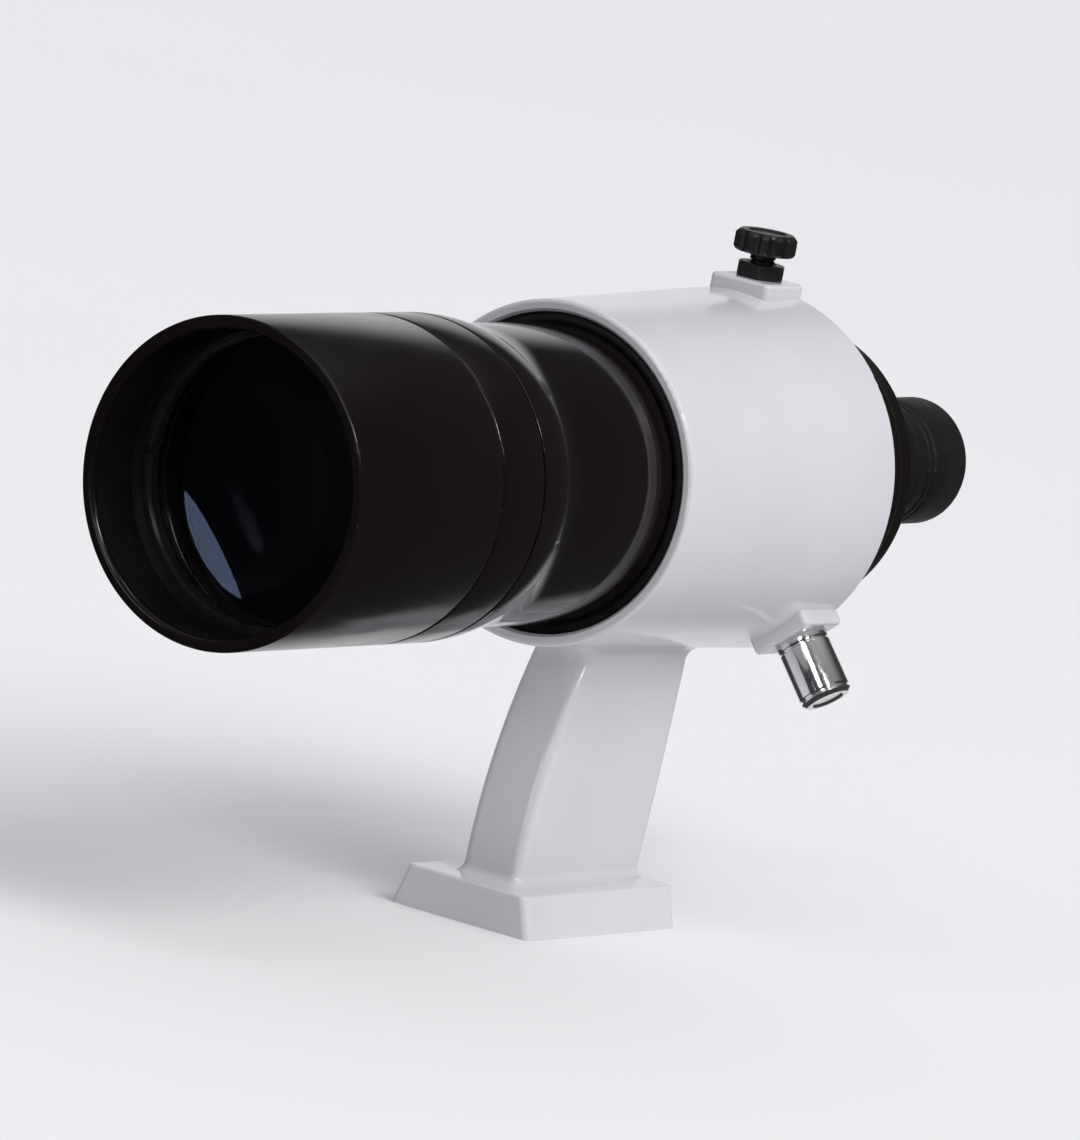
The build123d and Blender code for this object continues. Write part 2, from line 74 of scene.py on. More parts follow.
def span(node, axis):
    """Lowest and highest coordinate of a CAD node along an axis, in millimetres."""
    low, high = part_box(node)
    return low[axis] / MM, high[axis] / MM


cell_front, cell_rear = span("objective_cell", 0)
cell_low, cell_high = span("objective_cell", 2)
cell_r = (cell_high - cell_low) / 2
axis_z = (cell_high + cell_low) / 2
ring_front, ring_rear = span("lens_retaining_ring", 0)
ring_low, ring_high = span("lens_retaining_ring", 2)
dew_bore_r = (ring_high - ring_low) / 2 + 0.02
crown_front, crown_rear = span("crown_lens", 0)
flint_rear = span("flint_lens", 0)[1]
lens_low, lens_high = span("flint_lens", 2)
lens_r = (lens_high - lens_low) / 2
lock_front, lock_rear = span("lock_ring", 0)
tube_front, tube_rear = span("main_tube", 0)
groove_x = sum(span("o_ring", 0)) / 2
cap_front, cap_rear = span("rear_cap", 0)
cap_low, cap_high = span("rear_cap", 2)
cap_r = (cap_high - cap_low) / 2
barrel_front, barrel_rear = span("eyepiece_barrel", 0)
barrel_low, barrel_high = span("eyepiece_barrel", 2)
flange_r = (barrel_high - barrel_low) / 2
cup_front, cup_rear = span("eyecup", 0)
cup_low, cup_high = span("eyecup", 2)
cup_r = (cup_high - cup_low) / 2
screw_x = sum(span("top_thumb_screw", 0)) / 2
screw_start, screw_end = (z - axis_z for z in span("top_thumb_screw", 2))
nut_start, nut_end = (z - axis_z for z in span("top_lock_nut", 2))
nut_low, nut_high = span("side_lock_nut", 0)
nut_half_width = (nut_high - nut_low) / 2

AXIS = Vector((0, 0, axis_z)) * MM
SCREWS = Vector((screw_x, 0, axis_z)) * MM
UP = Vector((0, 0, 1))
RIGHT = Vector((0, 1, 0))
ALONG = Vector((1, 0, 0))
collar_low, collar_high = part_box("plunger_collar")
DOWN_LEFT = ((collar_low + collar_high) / 2 - SCREWS).normalized()

# Sizes that a CAD box doesn't give, in millimetres
TUBE_R = 28.3
TUBE_BORE_R = 26.8
THREAD_R = 28.8  # tube's thread for the lock ring and the cell
SLACK = 0.05  # between a thread and the piece screwed on it
CLEAR_R = 25.0  # opening of the seat that the lenses rest on
FLARE_REAR = cell_front + 79.0
GROOVE_FLOOR_R = 27.7
GROOVE_HALF_WIDTH = 2.0
NECK_R = 15.5
NECK_BORE_R = 13.0
BARREL_R = 12.2
BARREL_END_R = 11.5  # inside the eyecup
SCREW_R = 2.5
THREAD_PITCH = 0.8
THREAD_DEPTH = 0.42
HEAD_R = 6.0
HEAD_HEIGHT = 4.2
FLUTE_COUNT = 12
FLUTE_R = 0.9
PLUNGER_R = 5.1
PLUNGER_THREAD_R = 4.0
PLUNGER_BORE_R = 3.0
PIN_HOLE_R = 1.95
PLUNGER_NOSE = 33.0  # distance from the optical axis, as the next three are
COLLAR_END = 41.2
SPRING_SEAT = 48.6
PLUNGER_END = 50.0
SPRING_R = 2.3
SPRING_WIRE_R = 0.28
SPRING_TURNS = 5


# ---------------------------------------------------------------- materials
def new_material(name, base, roughness, **sockets):
    """A Principled material with constant sockets, and its nodes."""
    material = bpy.data.materials.new(name)
    material.use_nodes = True
    tree = material.node_tree
    shader = tree.nodes["Principled BSDF"]
    shader.inputs["Base Color"].default_value = (*base, 1)
    shader.inputs["Roughness"].default_value = roughness
    for socket, value in sockets.items():
        shader.inputs[socket.replace("_", " ")].default_value = value
    return material, shader, tree


def object_place(tree):
    """Object coordinates, which are the CAD frame's own, in metres."""
    return tree.nodes.new("ShaderNodeTexCoord").outputs["Object"]


def noise(tree, place, scale, detail=3.0, roughness=0.5):
    node = tree.nodes.new("ShaderNodeTexNoise")
    node.inputs["Scale"].default_value = scale
    node.inputs["Detail"].default_value = detail
    node.inputs["Roughness"].default_value = roughness
    tree.links.new(place, node.inputs["Vector"])
    return node.outputs["Fac"]


def remap(tree, value, low, high, to_low, to_high, kind="LINEAR"):
    node = tree.nodes.new("ShaderNodeMapRange")
    node.interpolation_type = kind
    limits = {"From Min": low, "From Max": high, "To Min": to_low, "To Max": to_high}
    for socket, number in limits.items():
        node.inputs[socket].default_value = number
    tree.links.new(value, node.inputs["Value"])
    return node.outputs["Result"]


def blend_colours(tree, share, first, second):
    """A colour between two, each given as a colour or as another node's output."""
    node = tree.nodes.new("ShaderNodeMix")
    node.data_type = "RGBA"
    factor = next(s for s in node.inputs if s.name == "Factor" and s.type == "VALUE")
    tree.links.new(share, factor)
    for socket, colour in zip([s for s in node.inputs if s.type == "RGBA"], (first, second)):
        if isinstance(colour, tuple):
            socket.default_value = (*colour, 1)
        else:
            tree.links.new(colour, socket)
    return next(s for s in node.outputs if s.type == "RGBA")


def multiply(tree, first, second):
    node = tree.nodes.new("ShaderNodeMath")
    node.operation = "MULTIPLY"
    tree.links.new(first, node.inputs[0])
    tree.links.new(second, node.inputs[1])
    return node.outputs["Value"]


def edge_share(tree):
    """1 where the surface bends outwards sharply, 0 elsewhere."""
    pointed = tree.nodes.new("ShaderNodeNewGeometry").outputs["Pointiness"]
    return remap(tree, pointed, 0.53, 0.62, 0, 1)


def add_bump(tree, shader, height, strength, distance, coat=False):
    node = tree.nodes.new("ShaderNodeBump")
    node.inputs["Strength"].default_value = strength
    node.inputs["Distance"].default_value = distance
    tree.links.new(height, node.inputs["Height"])
    tree.links.new(node.outputs["Normal"], shader.inputs["Normal"])
    if coat:
        tree.links.new(node.outputs["Normal"], shader.inputs["Coat Normal"])


def detailed(parts, first, second, patch, roughness, grain, strength, wear_and_highlight=None, coat=False):
    """Colour in soft patches between first and second, roughness that varies with smudges, fine
    grain as bump, and a lighter colour on sharp edges, partly wear and partly a painted highlight.
    The patch and grain numbers are noise scales."""
    material, shader, tree = parts
    place = object_place(tree)
    share = remap(tree, noise(tree, place, patch, 4.0), 0.32, 0.68, 0, 1)
    colour = blend_colours(tree, share, first, second)
    # Sharp edges, in random patches, get a lighter colour: partly wear, partly a painted highlight
    # along the rims.
    if wear_and_highlight:
        patches = remap(tree, noise(tree, place, 400, 4.0), 0.4, 0.7, 0, 1)
        colour = blend_colours(tree, multiply(tree, edge_share(tree), patches), colour, wear_and_highlight)
    tree.links.new(colour, shader.inputs["Base Color"])
    smudges = remap(tree, noise(tree, place, 2.3 * patch), 0.15, 0.85, *roughness)
    tree.links.new(smudges, shader.inputs["Roughness"])
    add_bump(tree, shader, noise(tree, place, grain, 2.0), strength, 0.0001, coat)
    return material


def make_metal(name, base, roughness, strength=0.04):
    """Bare or plated metal with fine grain and slightly darker patches."""
    material, shader, tree = new_material(name, base, roughness[0], Metallic=1.0)
    place = object_place(tree)
    grain = noise(tree, place, 1500, 3.0, 0.6)
    patches = remap(tree, noise(tree, place, 160, 4.0), 0.3, 0.7, 0, 1)
    darker = tuple(0.88 * c for c in base)
    tree.links.new(blend_colours(tree, patches, base, darker), shader.inputs["Base Color"])
    tree.links.new(remap(tree, grain, 0.3, 0.7, *roughness), shader.inputs["Roughness"])
    add_bump(tree, shader, grain, strength, 0.00003)
    return material


def make_lens(name, tint, coating):
    """Coated glass: clear, and with only a faint reflection in the coating's colour."""
    material, shader, tree = new_material(name, tint, 0.01, IOR=1.52, Transmission_Weight=1.0)
    shader.inputs["Specular Tint"].default_value = (*coating, 1)
    place = object_place(tree)
    haze = remap(tree, noise(tree, place, 60, 5.0), 0.4, 0.7, 0.004, 0.03)
    tree.links.new(haze, shader.inputs["Roughness"])
    return material


# In the black paints, the rubber and the screws, the lighter colour given for sharp edges is partly
# wear and partly a painted highlight.
enamel = detailed(
    new_material("white_enamel", (0.66, 0.655, 0.69), 0.3, Coat_Weight=0.8, Coat_Roughness=0.08),
    (0.64, 0.632, 0.668), (0.69, 0.682, 0.712), 30, (0.24, 0.46), 1100, 0.06, coat=True,
)
gloss_black = detailed(
    new_material("gloss_black", (0.006, 0.004, 0.0035), 0.08, Specular_IOR_Level=0.4),
    (0.005, 0.0032, 0.0028), (0.0075, 0.005, 0.0044), 22, (0.03, 0.12), 900, 0.01,
    wear_and_highlight=(0.03, 0.027, 0.025),
)
cell_black = detailed(
    new_material("cell_black", (0.006, 0.004, 0.0035), 0.15, Specular_IOR_Level=0.3),
    (0.005, 0.0032, 0.0028), (0.0075, 0.005, 0.0044), 22, (0.1, 0.22), 1300, 0.02,
    wear_and_highlight=(0.035, 0.031, 0.03),
)
flat_black = detailed(
    new_material("flat_black", (0.006, 0.005, 0.005), 0.55, Specular_IOR_Level=0.15),
    (0.0045, 0.0038, 0.0038), (0.008, 0.007, 0.0072), 70, (0.4, 0.64), 2600, 0.12,
)
ring_black = detailed(
    new_material("ring_black", (0.012, 0.011, 0.012), 0.3, Specular_IOR_Level=0.5),
    (0.010, 0.009, 0.010), (0.017, 0.0155, 0.017), 60, (0.22, 0.36), 1800, 0.05,
)
satin_black = detailed(
    new_material("satin_black", (0.009, 0.007, 0.007), 0.35, Specular_IOR_Level=0.35),
    (0.005, 0.004, 0.0037), (0.008, 0.0065, 0.006), 40, (0.22, 0.42), 1800, 0.05,
    wear_and_highlight=(0.04, 0.037, 0.035),
)
moulded_black = detailed(
    new_material("moulded_black", (0.008, 0.0064, 0.0058), 0.4, Specular_IOR_Level=0.35),
    (0.006, 0.0048, 0.0043), (0.0095, 0.008, 0.0073), 60, (0.28, 0.5), 2400, 0.1,
    wear_and_highlight=(0.035, 0.032, 0.03),
)
screw_black = detailed(
    new_material("screw_black", (0.010, 0.009, 0.010), 0.4, Specular_IOR_Level=0.45),
    (0.008, 0.007, 0.008), (0.013, 0.0115, 0.013), 90, (0.3, 0.44), 2200, 0.08,
    wear_and_highlight=(0.05, 0.048, 0.048),
)
nylon = detailed(
    new_material("nylon", (0.55, 0.54, 0.5), 0.45, Subsurface_Weight=0.15),
    (0.50, 0.49, 0.45), (0.58, 0.57, 0.53), 200, (0.38, 0.52), 2000, 0.06,
)
rubber = detailed(
    new_material("rubber", (0.009, 0.008, 0.0075), 0.6, Specular_IOR_Level=0.3, Sheen_Weight=0.02),
    (0.006, 0.005, 0.0047), (0.011, 0.0098, 0.0093), 130, (0.42, 0.7), 3200, 0.18,
    wear_and_highlight=(0.03, 0.028, 0.028),
)
chrome = make_metal("chrome", (0.86, 0.85, 0.86), (0.08, 0.18))
steel = make_metal("steel", (0.56, 0.55, 0.54), (0.2, 0.32), strength=0.08)
wire_metal = make_metal("wire_metal", (0.16, 0.16, 0.17), (0.3, 0.4))
objective_dark = make_lens("objective_dark", (0.95, 0.97, 1.0), (0.003, 0.0035, 0.005))
objective_rear = make_lens("objective_rear", (0.95, 0.97, 1.0), (0.48, 0.54, 0.705))
eyepiece_glass = make_lens("eyepiece_glass", (0.96, 0.98, 1.0), (0.15, 0.2, 0.3))


def paint(obj, *materials):
    """Gives an object its materials, in the place of any that it has."""
    slots = obj.data.materials
    for i, material in enumerate(materials):
        if i < len(slots):
            slots[i] = material
        else:
            slots.append(material)
    for i in range(len(materials), len(slots)):
        slots[i] = materials[-1]
    return obj


CAD_LOOKS = {
    "bracket": enamel,
    "lens_retaining_ring": ring_black,
    "tube_baffle": flat_black,
    "lens_spacer": flat_black,
    "reticle_ring": flat_black,
    "eyepiece_spacer": flat_black,
    "eyepiece_retainer": satin_black,
    "crosshair_wires": wire_metal,
    "field_lens": eyepiece_glass,
    "eye_lens": eyepiece_glass,
    "o_ring": rubber,
    "top_screw_tip": nylon,
    "side_screw_tip": nylon,
    "plunger_collar": steel,
    "plunger_pin": steel,
}
for node, look in CAD_LOOKS.items():
    paint(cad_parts[node], look)


# ---------------------------------------------------------------- mesh helpers
def rounded(points):
    """A closed outline of (along, radius), from (along, radius, corner radius) points."""
    nearly_straight = math.radians(88)
    out = []
    for i, (along, radius, corner) in enumerate(points):
        here = Vector((along, radius))
        before = Vector(points[i - 1][:2]) - here
        after = Vector(points[(i + 1) % len(points)][:2]) - here
        half = before.angle(after) / 2
        if corner <= 0 or half > nearly_straight:
            out.append((along, radius))
            continue
        reach = min(corner / math.tan(half), 0.48 * before.length, 0.48 * after.length)
        size = reach * math.tan(half)
        inwards = (before.normalized() + after.normalized()).normalized()
        centre = here + inwards * size / math.sin(half)
        start = here + before.normalized() * reach - centre
        end = here + after.normalized() * reach - centre
        turn = math.atan2(start.x * end.y - start.y * end.x, start.dot(end))
        for step in range(CORNER_STEPS + 1):
            point = centre + Matrix.Rotation(turn * step / CORNER_STEPS, 2) @ start
            out.append((point.x, point.y))
    return out


def lathe(bm, outline, origin, direction, segments, reshape=None, surface=None):
    """Spins a closed outline of (along, radius) about an axis. reshape(angle, along, radius)
    gives another radius, and surface(along, radius) a face's material number."""
    w = Vector(direction)
    u = ALONG if abs(w.x) < 0.5 else UP
    v = w.cross(u)
    on_axis = 1e-5
    rings = []
    for along, radius in outline:
        centre = origin + w * along * MM
        if radius < on_axis:
            rings.append([bm.verts.new(centre)])
            continue
        ring = []
        for k in range(segments):
            a = 2 * math.pi * k / segments
            r = (reshape(a, along, radius) if reshape else radius) * MM
            ring.append(bm.verts.new(centre + (u * math.cos(a) + v * math.sin(a)) * r))
        rings.append(ring)
    for i, first in enumerate(rings):
        second = rings[(i + 1) % len(rings)]
        if len(first) == 1 and len(second) == 1:
            continue
        middle = [(p + q) / 2 for p, q in zip(outline[i], outline[(i + 1) % len(outline)])]
        number = surface(*middle) if surface else 0
        for k in range(segments):
            n = (k + 1) % segments
            if len(first) == 1:
                corners = (first[0], second[n], second[k])
            elif len(second) == 1:
                corners = (first[k], first[n], second[0])
            else:
                corners = (first[k], first[n], second[n], second[k])
            bm.faces.new(corners).material_index = number


def add_object(name, data):
    obj = bpy.data.objects.new(name, data)
    bpy.context.scene.collection.objects.link(obj)
    return obj


def finish_piece(name, bm, body, slot, replaced, *materials):
    """Turns a bmesh into a shown piece that rides on a body and stands for a CAD node."""
    bmesh.ops.recalc_face_normals(bm, faces=bm.faces)
    mesh = bpy.data.meshes.new(name)
    bm.to_mesh(mesh)
    bm.free()
    mesh.shade_smooth()
    mesh.set_sharp_from_angle(angle=math.radians(35))
    piece = add_object(name, mesh)
    paint(piece, *materials)
    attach(piece, body)
    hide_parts(replaced)
    return piece


def turned(node, points, body, slot, materials, segments=LARGE_TURN, reshape=None, surface=None,
           origin=AXIS, direction=ALONG):
    """One turned piece from its outline, standing for a CAD node."""
    bm = bmesh.new()
    lathe(bm, rounded(points), origin, direction, segments, reshape, surface)
    return finish_piece(f"{node}_turned", bm, body, slot, node, *materials)


# ---------------------------------------------------------------- objective end
def make_cell():
    """Cell and dew shield: painted outside, flat black inside."""
    seat = flint_rear - 1.2
    thread_front = cell_front + 33.0
    thread_r = THREAD_R + SLACK
    lens_bore_r = lens_r + 0.02
    points = [
        (cell_front, cell_r, 0.45),
        (cell_rear, cell_r, 0.75),
        (cell_rear, thread_r, 0.2),
        (thread_front, thread_r, 0.1),
        (thread_front, CLEAR_R, 0.2),
        (seat, CLEAR_R, 0.1),
        (seat, lens_bore_r, 0.0),
        (ring_rear, lens_bore_r, 0.0),
        (ring_rear, dew_bore_r, 0.0),
    ]
    # End of the retaining ring's thread, seen in front of the ring
    turns, pitch, depth = 4, 0.75, 0.2
    for k in range(turns):
        at = ring_front - 0.4 - pitch * k
        points += [
            (at, dew_bore_r, 0.05),
            (at - 0.35, dew_bore_r + depth, 0.05),
            (at - 0.7, dew_bore_r, 0.05),
        ]
    lip = 1.2
    points.append((cell_front, dew_bore_r, lip))
    paint_end = cell_front + lip + 0.05
    turned(
        "objective_cell", points, "cell", "gloss_black_cell", (cell_black, flat_black),
        surface=lambda along, radius: int(radius < cell_r - 1.2 and along > paint_end),
    )


def dome(vertex, curve, reach, steps=20):
    """Outline of a spherical lens face from its middle out. A curve below 0 is hollow towards
    the front or bulges to the rear."""
    out = []
    for k in range(steps + 1):
        r = reach * k / steps
        depth = abs(curve) - math.sqrt(curve**2 - r**2)
        out.append((vertex + math.copysign(depth, curve), r, 0.0))
    return out


def make_objective():
    """Crown and flint, an air gap apart. Only the flint's rear face mirrors enough to be seen."""
    land, inner_land, inner_curve, air_gap, bevel = 26.5, 26.2, -82.0, 0.4, 0.3

    def make_lens_piece(node, front, rear, *look, **faces):
        edge = [(front[-1][0], lens_r, bevel), (rear[-1][0], lens_r, bevel)]
        points = front + edge + rear[::-1]
        turned(node, points, "lens_group", "objective_glass", look, **faces)

    make_lens_piece(
        "crown_lens", dome(crown_front, 110.0, land), dome(crown_rear, inner_curve, inner_land),
        objective_dark,
    )
    make_lens_piece(
        "flint_lens", dome(crown_rear + air_gap, inner_curve, inner_land),
        dome(flint_rear, -260.0, CLEAR_R), objective_dark, objective_rear,
        surface=lambda along, radius: int(along > crown_rear + 1.0),
    )


def make_lock_ring():
    """Ring behind the cell. A small gap keeps their faces apart as either turns."""
    bore, gap = THREAD_R + SLACK, 0.02
    turned(
        "lock_ring",
        [
            (lock_front + gap, bore, 0.2),
            (lock_front + gap, cell_r, 0.75),
            (lock_rear, cell_r, 0.4),
            (lock_rear, bore, 0.2),
        ],
        "focus_lock", "gloss_black_ring", (cell_black,),
    )


# ---------------------------------------------------------------- tube and rear cap
def flare():
    """Outline of two equal arcs that take the cell's radius down to the tube's."""
    start = lock_rear + 0.8
    half = (FLARE_REAR - start) / 2
    drop = (cell_r - TUBE_R) / 2
    curve = (half**2 + drop**2) / (2 * drop)
    steps = 12
    out = []
    for k in range(1, 2 * steps):
        along = k * half / steps
        if along <= half:
            radius = cell_r - curve + math.sqrt(curve**2 - along**2)
        else:
            radius = TUBE_R + curve - math.sqrt(curve**2 - (2 * half - along) ** 2)
        out.append((start + along, radius, 0.0))
    return out


def make_tube():
    """Tube with the flare behind the lock ring and the O-ring's groove: glossy outside."""
    flange = lock_rear + 0.4
    points = [
        (tube_front, TUBE_BORE_R, 0.1),
        (tube_front, THREAD_R, 0.5),
        (flange, THREAD_R, 0.0),
        (flange, cell_r, 0.4),
        (flange + 0.4, cell_r, 0.0),
        *flare(),
        (FLARE_REAR, TUBE_R, 0.0),
        (groove_x - GROOVE_HALF_WIDTH, TUBE_R, 0.15),
        (groove_x - GROOVE_HALF_WIDTH, GROOVE_FLOOR_R, 0.3),
        (groove_x + GROOVE_HALF_WIDTH, GROOVE_FLOOR_R, 0.3),
        (groove_x + GROOVE_HALF_WIDTH, TUBE_R, 0.15),
        (tube_rear, TUBE_R, 0.3),
        (tube_rear, TUBE_BORE_R, 0.1),
    ]
    turned(
        "main_tube", points, "scope", "gloss_black_tube", (gloss_black, flat_black),
        surface=lambda along, radius: int(radius < TUBE_BORE_R + 0.4),
    )


def make_rear_cap():
    """Cap on the tube's rear, with a spigot inside the tube and the eyepiece's neck."""
    spigot_r, web, wall = TUBE_BORE_R - 0.02, 3.0, 1.4
    face = cap_rear - 9.4
    turned(
        "rear_cap",
        [
            (cap_front, spigot_r, 0.3),
            (tube_rear, spigot_r, 0.0),
            (tube_rear, cap_r, 0.25),
            (face - 1.9, cap_r, 0.2),
            (face, cap_r - 2.2, 1.6),
            (face, NECK_R + 4.0, 0.3),
            (face - 0.35, NECK_R + 3.6, 0.2),
            (face - 0.35, NECK_R, 0.5),
            (cap_rear, NECK_R, 0.8),
            (cap_rear, NECK_BORE_R, 0.2),
            (tube_rear + web, NECK_BORE_R, 0.1),
            (tube_rear + web, spigot_r - wall, 0.5),
            (cap_front, spigot_r - wall, 0.2),
        ],
        "scope", "satin_black_cap", (satin_black,),
    )


# ---------------------------------------------------------------- eyepiece
def knurl(count, depth, over):
    """Straight knurling: teeth round every place that is further out than over."""
    def reshape(angle, along, radius):
        if radius < over:
            return radius
        return radius - depth * abs((angle * count / (2 * math.pi)) % 1 - 0.5) * 2
    return reshape


def make_barrel():
    """Eyepiece barrel with a knurled flange, bored in steps for its lenses."""
    flange_front, flange_rear = cap_rear, cap_rear + 4.0
    stop, shoulder = cell_front + 205.0, cell_front + 213.5
    turned(
        "eyepiece_barrel",
        [
            (barrel_front, 11.0, 0.1),
            (barrel_front, NECK_BORE_R - 0.02, 0.3),
            (flange_front, NECK_BORE_R - 0.02, 0.0),
            (flange_front, flange_r - 0.5, 0.2),
            (flange_front + 0.5, flange_r, 0.15),
            (flange_rear - 0.5, flange_r, 0.15),
            (flange_rear, flange_r - 0.5, 0.2),
            (flange_rear, BARREL_R, 0.4),
            (cup_front, BARREL_R, 0.0),
            (cup_front, BARREL_END_R, 0.0),
            (barrel_rear, BARREL_END_R, 0.2),
            (barrel_rear, 10.5, 0.2),
            (shoulder, 10.5, 0.0),
            (shoulder, 9.4, 0.2),
            (stop, 9.4, 0.2),
            (stop, 11.0, 0.1),
        ],
        "scope", "satin_black_eyepiece", (moulded_black,), segments=4 * SMALL_TURN,
        reshape=knurl(SMALL_TURN, 0.28, flange_r - 0.15),
    )


def make_eyecup():
    """Rubber cup with two grip grooves and a rolled lip."""
    lip, inner_r = 1.0, BARREL_END_R + 0.02
    points = [(cup_front, inner_r, 0.1), (cup_front, BARREL_R, 0.15), (cup_front + 0.6, cup_r, 0.2)]
    for k in range(2):
        at = cup_front + 3.0 + 2.2 * k
        points += [
            (at, cup_r, 0.15),
            (at + 0.3, cup_r - 0.4, 0.2),
            (at + 0.8, cup_r - 0.4, 0.2),
            (at + 1.1, cup_r, 0.15),
        ]
    points += [
        (cup_rear, cup_r, lip),
        (cup_rear, cup_r - 2 * lip, lip),
        (barrel_rear + 0.1, 9.8, 0.4),
        (barrel_rear + 0.1, inner_r, 0.1),
    ]
    turned("eyecup", points, "scope", "eyecup_rubber", (rubber,))


# ---------------------------------------------------------------- alignment screws
def flutes(angle, radius):
    """Scallops round the head, with soft edges where they meet its side."""
    circle_r = HEAD_R + 0.3
    off = ((angle * FLUTE_COUNT / (2 * math.pi)) % 1 - 0.5) * 2 * math.pi / FLUTE_COUNT
    reach = circle_r * math.sin(off)
    if abs(reach) > FLUTE_R:
        return radius
    near = circle_r * math.cos(off) - math.sqrt(FLUTE_R**2 - reach**2)
    softness = 0.1
    low = min(radius, near)
    overlap = math.exp((low - radius) / softness) + math.exp((low - near) / softness)
    return low - softness * math.log(overlap)


def screw_thread(angle, along, radius):
    """A helical thread cut into the shank, with a narrow flat crest."""
    phase = (along / THREAD_PITCH - angle / (2 * math.pi)) % 1
    ridge = min(1.0, 1.35 * (1 - abs(2 * phase - 1)))
    return radius - THREAD_DEPTH * (1 - ridge)


def make_screw(side, direction):
    """Fluted head with a dished face, on a threaded shank that is hollow for the nylon tip."""
    top, bottom = screw_end, screw_end - HEAD_HEIGHT
    neck = bottom - 0.85
    dish_r, dish_depth, fluted_from_r = 3.9, 0.4, 4.6
    bm = bmesh.new()
    head = rounded(
        [
            (neck, 0.0, 0.0),
            (neck, SCREW_R - 0.1, 0.1),
            (neck + 0.2, SCREW_R, 0.1),
            (bottom, SCREW_R, 0.25),
            (bottom, HEAD_R - 0.5, 0.3),
            (bottom + 0.6, HEAD_R, 0.4),
            (top - 0.9, HEAD_R, 0.4),
            (top, HEAD_R - 0.9, 0.4),
            (top, dish_r, 0.2),
            (top - dish_depth, dish_r - 0.4, 0.2),
            (top - dish_depth, 0.0, 0.0),
        ]
    )
    lathe(
        bm, head, SCREWS, direction, 24 * FLUTE_COUNT,
        lambda angle, along, r: flutes(angle, r) if r > fluted_from_r else r,
    )
    hollow_r, hollow_end, root_r = 1.25, screw_start + 2.6, SCREW_R - THREAD_DEPTH
    length = neck - screw_start - 0.1
    steps_per_turn = 8
    count = round(length / THREAD_PITCH * steps_per_turn)
    shank = [(screw_start, hollow_r), (screw_start, root_r)]
    shank += [(screw_start + 0.1 + length * k / count, SCREW_R) for k in range(count + 1)]
    shank += [(neck, 0.0), (hollow_end, 0.0), (hollow_end, hollow_r)]
    lathe(
        bm, shank, SCREWS, direction, SMALL_TURN,
        lambda angle, along, r: screw_thread(angle, along, r) if r > root_r + 0.01 else r,
    )
    node = f"{side}_thumb_screw"
    finish_piece(f"{node}_turned", bm, f"{side}_screw", "black_screw", node, screw_black)


def make_nut(side, direction):
    """Hexagon nut, chamfered on both faces, with a countersunk bore."""
    bore, sink = SCREW_R + SLACK, 0.35
    chamfer, slope, blunt = 0.15, 1.9, 0.05
    corner_r = nut_half_width / math.cos(math.pi / 6)

    def hexagon(angle, along, radius):
        if radius < bore + 0.6:
            return radius
        off = (angle + math.pi / 6) % (math.pi / 3) - math.pi / 6
        flat = nut_half_width / math.cos(off)
        end = min(along - nut_start, nut_end - along)
        return min(flat, nut_half_width - chamfer + end * slope, corner_r - blunt)

    chamfer_steps = [0.0, 0.06, 0.12, 0.2, 0.28, 0.36, 0.45, 0.55]
    outer = [(nut_start + step, corner_r) for step in chamfer_steps]
    outer += [(nut_end - step, corner_r) for step in reversed(chamfer_steps)]
    inner = [
        (nut_end, bore + sink),
        (nut_end - 0.3, bore),
        (nut_start + 0.3, bore),
        (nut_start, bore + sink),
    ]
    bm = bmesh.new()
    lathe(bm, outer + inner, SCREWS, direction, 2 * SMALL_TURN, hexagon)
    node = f"{side}_lock_nut"
    finish_piece(f"{node}_turned", bm, f"{side}_nut", "black_screw", node, screw_black)


# ---------------------------------------------------------------- spring plunger
def make_plunger():
    """Chromed barrel: a collar against the pad, a smooth body and a grooved end."""
    pad = nut_start
    groove, end_groove, lip, dish = 0.3, 0.35, 1.0, 0.35
    turned(
        "plunger_housing",
        [
            (PLUNGER_NOSE, PIN_HOLE_R, 0.1),
            (PLUNGER_NOSE, PLUNGER_THREAD_R, 0.3),
            (pad, PLUNGER_THREAD_R, 0.0),
            (pad, PLUNGER_R, 0.2),
            (pad + 1.2, PLUNGER_R, 0.15),
            (pad + 1.45, PLUNGER_R - groove, 0.1),
            (pad + 1.75, PLUNGER_R - groove, 0.1),
            (pad + 2.0, PLUNGER_R, 0.15),
            (PLUNGER_END - 1.75, PLUNGER_R, 0.15),
            (PLUNGER_END - 1.5, PLUNGER_R - end_groove, 0.1),
            (PLUNGER_END - 1.15, PLUNGER_R - end_groove, 0.1),
            (PLUNGER_END - 0.8, PLUNGER_R, 0.15),
            (PLUNGER_END, PLUNGER_R - 0.8, 0.5),
            (PLUNGER_END, 3.2, 0.25),
            (PLUNGER_END - dish, 2.9, 0.15),
            (PLUNGER_END - dish, 0.0, 0.0),
            (SPRING_SEAT, 0.0, 0.0),
            (SPRING_SEAT, PLUNGER_BORE_R, 0.1),
            (PLUNGER_NOSE + lip, PLUNGER_BORE_R, 0.1),
            (PLUNGER_NOSE + lip, PIN_HOLE_R, 0.1),
        ],
        "bracket_body", "plunger_chrome", (chrome,), segments=2 * SMALL_TURN,
        origin=SCREWS, direction=DOWN_LEFT,
    )


